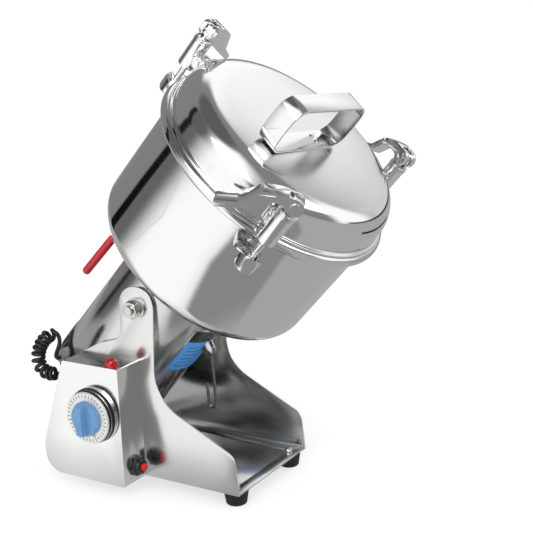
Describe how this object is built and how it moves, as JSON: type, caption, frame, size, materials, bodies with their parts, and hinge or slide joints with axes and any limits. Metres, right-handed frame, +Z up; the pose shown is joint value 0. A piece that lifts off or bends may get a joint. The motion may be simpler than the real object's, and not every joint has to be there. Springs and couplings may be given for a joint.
{
  "type": "electric grain mill",
  "caption": "Tilting electric grain mill: stainless grinding bowl with clamped lid on a motor tube, pivoted between the side plates of a stand with a timer box.",
  "frame": {"origin": "middle of the object's bounding box in plan, on the surface that its four feet stand on", "axes": "+X across the stand to the side away from the control box, -Y to the pouring side that the bowl leans to, +Z up from the table"},
  "size_m": [0.3022, 0.371, 0.4684],
  "materials": {
    "stand_sheet": "satin stainless sheet",
    "black_rubber": "matt",
    "zinc_hardware": "bright zinc plating",
    "box_sheet": "satin stainless sheet",
    "black_plastic": "fine matt",
    "dial_face": "semi gloss",
    "knob_blue": "semi gloss",
    "red_plastic": "gloss",
    "motor_shell": "polished stainless sheet",
    "cap_plastic": "fine matt",
    "cast_aluminium": "as cast",
    "bearing_steel": "ground",
    "core_iron": "varnished laminations",
    "stainless": "polished stainless",
    "gasket_rubber": "white silicone",
    "clamp_steel": "polished"
  },
  "bodies": {
    "stand": {"base_pan": "stand_sheet", "side_plate_left": "stand_sheet", "side_plate_right": "stand_sheet", "ear_plate_left": "stand_sheet", "ear_plate_right": "stand_sheet", "foot_1": "black_rubber", "foot_2": "black_rubber", "foot_3": "black_rubber", "foot_4": "black_rubber", "foot_screws": "zinc_hardware", "box_shell": "box_sheet", "timer_body": "black_plastic", "timer_dial": "dial_face", "lamp": "red_plastic", "breaker_body": "black_plastic", "switch_body": "black_plastic", "box_gland": "black_plastic", "mains_gland": "black_plastic", "curly_cord": "black_rubber"},
    "head": {"motor_tube": "motor_shell", "motor_cap": "cap_plastic", "end_bell_upper": "cast_aluminium", "end_bell_lower": "cast_aluminium", "bearings": "bearing_steel", "stator": "core_iron", "pivot_studs": "zinc_hardware", "pivot_nuts": "zinc_hardware", "motor_gland_body": "black_plastic", "lever_bracket": "zinc_hardware", "bowl": "stainless", "rim_gasket": "gasket_rubber", "lug_1": "stainless", "lug_2": "stainless", "lug_3": "stainless", "lid": "stainless", "lid_handle": "stainless", "bracket_1": "stainless", "bracket_2": "stainless", "bracket_3": "stainless"},
    "rotor": {"armature": "core_iron", "fan": "black_plastic", "blade_lower": "stainless", "blade_upper": "stainless", "blade_nut": "zinc_hardware"},
    "tilt_lever": {"tilt_lever": "zinc_hardware", "lever_grip": "red_plastic"},
    "hook": {"hang_hook": "zinc_hardware"},
    "knob": {"timer_knob": "knob_blue"},
    "button": {"breaker_button": "red_plastic"},
    "rocker": {"switch_rocker": "black_plastic"},
    "clamp_1": {"barrel_1": "clamp_steel"},
    "rod_1": {"rod_1": "clamp_steel"},
    "lever_1": {"cam_lever_1": "clamp_steel"},
    "clamp_2": {"barrel_2": "clamp_steel"},
    "rod_2": {"rod_2": "clamp_steel"},
    "lever_2": {"cam_lever_2": "clamp_steel"},
    "clamp_3": {"barrel_3": "clamp_steel"},
    "rod_3": {"rod_3": "clamp_steel"},
    "lever_3": {"cam_lever_3": "clamp_steel"}
  },
  "joints": [
    {"name": "head_tilt", "type": "hinge", "parent": "stand", "child": "head", "pos_m": [-0.0007, 0.0448, 0.193], "axis": [1, 0, 0], "range_deg": [-42.6, 47.4]},
    {"name": "rotor_spin", "type": "hinge", "parent": "head", "child": "rotor", "pos_m": [-0.0007, 0.0448, 0.193], "axis": [0, -0.6769, 0.7361], "continuous": true},
    {"name": "clamp_1_swing", "type": "hinge", "parent": "head", "child": "clamp_1", "pos_m": [-0.10459, -0.14242, 0.3007], "axis": [-0.5299, 0.6242, 0.574], "range_deg": [0, 30]},
    {"name": "rod_1_slide", "type": "slide", "parent": "clamp_1", "child": "rod_1", "axis": [0, 0.6769, -0.7361], "range_m": [0, 0.0012]},
    {"name": "lever_1_turn", "type": "hinge", "parent": "rod_1", "child": "lever_1", "pos_m": [-0.11383, -0.16813, 0.32012], "axis": [0.848, 0.3901, 0.3587], "range_deg": [0, 110]},
    {"name": "clamp_2_swing", "type": "hinge", "parent": "head", "child": "clamp_2", "pos_m": [0.10746, -0.13697, 0.30571], "axis": [-0.4695, -0.6499, -0.5976], "range_deg": [0, 30]},
    {"name": "rod_2_slide", "type": "slide", "parent": "clamp_2", "child": "rod_2", "axis": [0, 0.6769, -0.7361], "range_m": [0, 0.0012]},
    {"name": "lever_2_turn", "type": "hinge", "parent": "rod_2", "child": "lever_2", "pos_m": [0.11708, -0.16219, 0.32558], "axis": [0.8829, -0.3456, -0.3178], "range_deg": [0, 110]},
    {"name": "clamp_3_swing", "type": "hinge", "parent": "head", "child": "clamp_3", "pos_m": [-0.00498, -0.00452, 0.4275], "axis": [0.9994, 0.0257, 0.0236], "range_deg": [0, 30]},
    {"name": "rod_3_slide", "type": "slide", "parent": "clamp_3", "child": "rod_3", "axis": [0, 0.6769, -0.7361], "range_m": [0, 0.0012]},
    {"name": "lever_3_turn", "type": "hinge", "parent": "rod_3", "child": "lever_3", "pos_m": [-0.00536, -0.01796, 0.45821], "axis": [0.0349, -0.7356, -0.6765], "range_deg": [0, 110]},
    {"name": "tilt_lever_pull", "type": "hinge", "parent": "head", "child": "tilt_lever", "pos_m": [-0.0007, 0.08659, 0.26131], "axis": [-1, 0, 0], "range_deg": [0, 10], "stiffness_Nm_per_rad": 0.6, "springref_deg": -20},
    {"name": "hook_swing", "type": "hinge", "parent": "head", "child": "hook", "pos_m": [-0.0007, 0.00431, 0.13539], "axis": [1, 0, 0], "range_deg": [-45, 30]},
    {"name": "timer_turn", "type": "hinge", "parent": "stand", "child": "knob", "pos_m": [-0.1012, 0.0788, 0.0875], "axis": [-1, 0, 0], "range_deg": [0, 300]},
    {"name": "breaker_press", "type": "slide", "parent": "stand", "child": "button", "axis": [0, 1, 0], "range_m": [0, 0.003], "stiffness_N_per_m": 400, "springref_m": -0.002},
    {"name": "rocker_turn", "type": "hinge", "parent": "stand", "child": "rocker", "pos_m": [-0.08395, 0.14466, 0.058], "axis": [1, 0, 0], "range_deg": [-16, 0]}
  ],
  "couplings": [
    {"joint": "rod_1_slide", "follows": "lever_1_turn", "m_per_rad": 0.0006},
    {"joint": "rod_2_slide", "follows": "lever_2_turn", "m_per_rad": 0.0006},
    {"joint": "rod_3_slide", "follows": "lever_3_turn", "m_per_rad": 0.0006}
  ]
}
